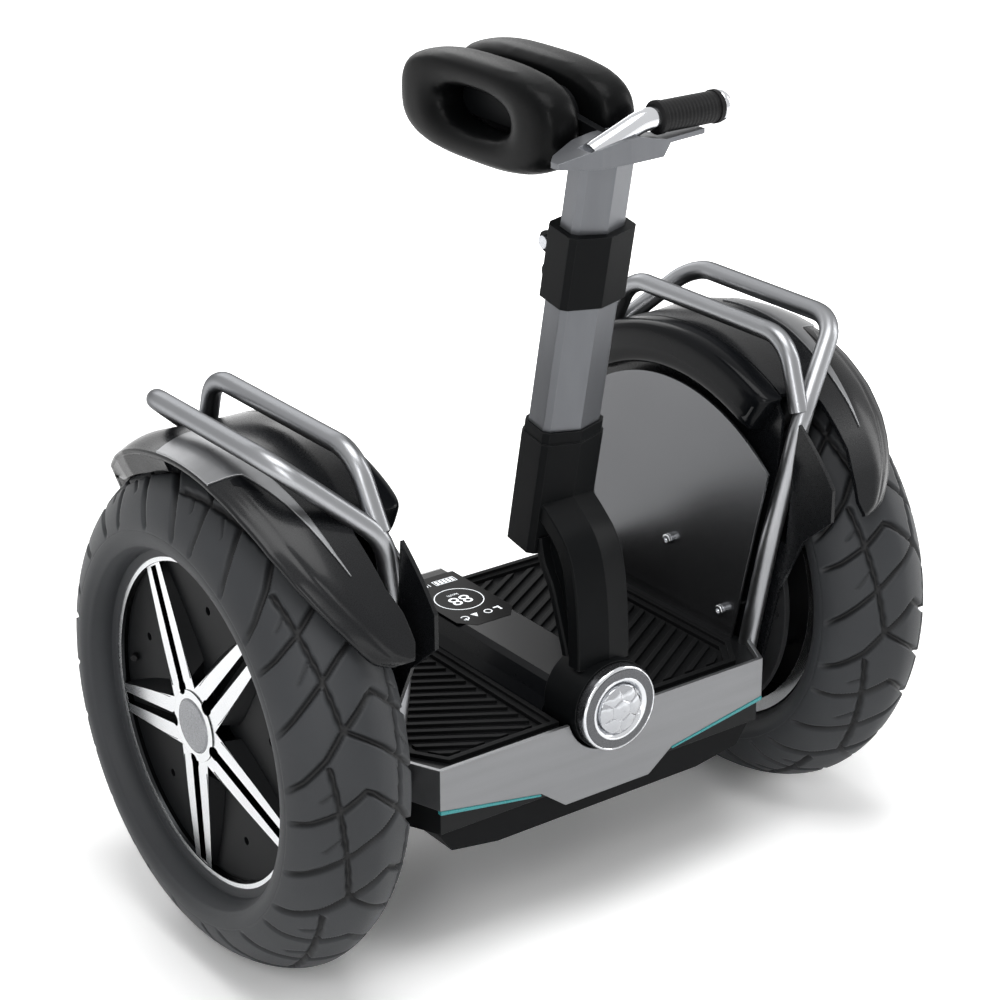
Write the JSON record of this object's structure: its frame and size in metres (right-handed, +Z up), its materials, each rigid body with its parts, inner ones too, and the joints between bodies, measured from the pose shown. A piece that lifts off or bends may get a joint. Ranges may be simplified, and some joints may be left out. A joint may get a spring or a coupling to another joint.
{
  "type": "two-wheeled self-balancing personal transporter",
  "caption": "Two-wheeled self-balancing ride-on platform with fat tyres, fenders, guard rails and a leaning steering column that carries knee pads and a side grip.",
  "frame": {"origin": "on the ground, midway between the wheels and straight under the axle line", "axes": "+Z up, +X to the side that carries the hand grip, -Y forward (the lamp side); the axle runs along X"},
  "size_m": [0.7374, 0.4826, 0.8147],
  "materials": {
    "cast_black": "satin",
    "band_silver": "satin",
    "teal_lens": "gloss",
    "mat_rubber": "matte",
    "console_black": "gloss",
    "display_glass": "gloss",
    "belly_black": "satin",
    "cell_case": "satin",
    "board_green": "satin",
    "panel_grey": "satin",
    "bolt_steel": "satin",
    "fender_black": "gloss",
    "rail_steel": "satin",
    "bracket_iron": "matte",
    "axle_steel": "satin",
    "bearing_steel": "polished",
    "stator_core": "matte",
    "bush_bronze": "satin",
    "stop_rubber": "matte",
    "socket_black": "satin",
    "button_chrome": "polished",
    "tyre_rubber": "matte",
    "rim_machined": "polished",
    "dish_black": "satin",
    "motor_black": "satin",
    "cap_grey": "satin",
    "shaft_steel": "satin",
    "column_black": "satin",
    "tube_grey": "satin",
    "lever_black": "satin",
    "bezel_grey": "satin",
    "reflector": "polished",
    "lens_clear": "gloss",
    "handle_chrome": "polished",
    "grip_rubber": "satin",
    "hub_black": "satin",
    "pad_leather": "satin"
  },
  "bodies": {
    "chassis": {"deck_frame": "cast_black", "front_band": "band_silver", "light_strips": "teal_lens", "footboard_left": "mat_rubber", "footboard_right": "mat_rubber", "console_cover": "console_black", "display_glass": "display_glass", "belly_tray": "belly_black", "battery_hatch": "belly_black", "battery_pack": "cell_case", "control_board": "board_green", "side_panels": "panel_grey", "panel_bolts": "bolt_steel", "fender_left": "fender_black", "fender_right": "fender_black", "crown_strips": "band_silver", "inner_fender_left": "fender_black", "inner_fender_right": "fender_black", "rail_outer_left": "rail_steel", "rail_outer_right": "rail_steel", "rail_inner_left": "rail_steel", "rail_inner_right": "rail_steel", "motor_brackets": "bracket_iron", "axles": "axle_steel", "hub_bearings": "bearing_steel", "motor_stators": "stator_core", "pivot_block": "cast_black", "pivot_bushes": "bush_bronze", "lean_stops": "stop_rubber", "charge_socket": "socket_black"},
    "button": {"power_button": "button_chrome"},
    "socket_cap": {"charge_cap": "stop_rubber"},
    "wheel_left": {"tyre_left": "tyre_rubber", "rim_left": "rim_machined", "wheel_dish_left": "dish_black", "motor_shell_left": "motor_black", "hub_cap_left": "cap_grey"},
    "wheel_right": {"tyre_right": "tyre_rubber", "rim_right": "rim_machined", "wheel_dish_right": "dish_black", "motor_shell_right": "motor_black", "hub_cap_right": "cap_grey"},
    "column": {"pivot_shaft": "shaft_steel", "pivot_housing": "column_black", "column_arch": "column_black", "base_sleeve": "column_black", "lower_tube": "tube_grey", "clamp_collar": "column_black", "clamp_pin": "shaft_steel", "lamp_bezel": "bezel_grey", "lamp_reflector": "reflector", "lamp_lens": "lens_clear"},
    "mast": {"upper_tube": "tube_grey", "top_plate": "tube_grey", "handle_tube": "handle_chrome", "handle_grip": "grip_rubber", "pad_hub": "hub_black", "knee_pad_left": "pad_leather", "knee_pad_right": "pad_leather"},
    "lever": {"clamp_lever": "lever_black"}
  },
  "joints": [
    {"name": "wheel_left_spin", "type": "hinge", "parent": "chassis", "child": "wheel_left", "pos_m": [-0.3067, 0, 0.2413], "axis": [1, 0, 0], "continuous": true},
    {"name": "wheel_right_spin", "type": "hinge", "parent": "chassis", "child": "wheel_right", "pos_m": [0.3067, 0, 0.2413], "axis": [1, 0, 0], "continuous": true},
    {"name": "column_lean", "type": "hinge", "parent": "chassis", "child": "column", "pos_m": [0, -0.12, 0.225], "axis": [0, 1, 0], "range_deg": [-15, 15], "stiffness_Nm_per_rad": 60},
    {"name": "mast_slide", "type": "slide", "parent": "column", "child": "mast", "axis": [0, -0.1959, 0.9806], "range_m": [-0.04, 0.12]},
    {"name": "clamp_lever_swing", "type": "hinge", "parent": "column", "child": "lever", "pos_m": [0, -0.08883, 0.65862], "axis": [1, 0, 0], "range_deg": [0, 110]},
    {"name": "power_button_push", "type": "slide", "parent": "chassis", "child": "button", "axis": [0, -1, 0], "range_m": [0, 0.0015], "stiffness_N_per_m": 400},
    {"name": "socket_cap_swing", "type": "hinge", "parent": "chassis", "child": "socket_cap", "pos_m": [-0.12, 0.1849, 0.191], "axis": [1, 0, 0], "range_deg": [0, 120]}
  ]
}
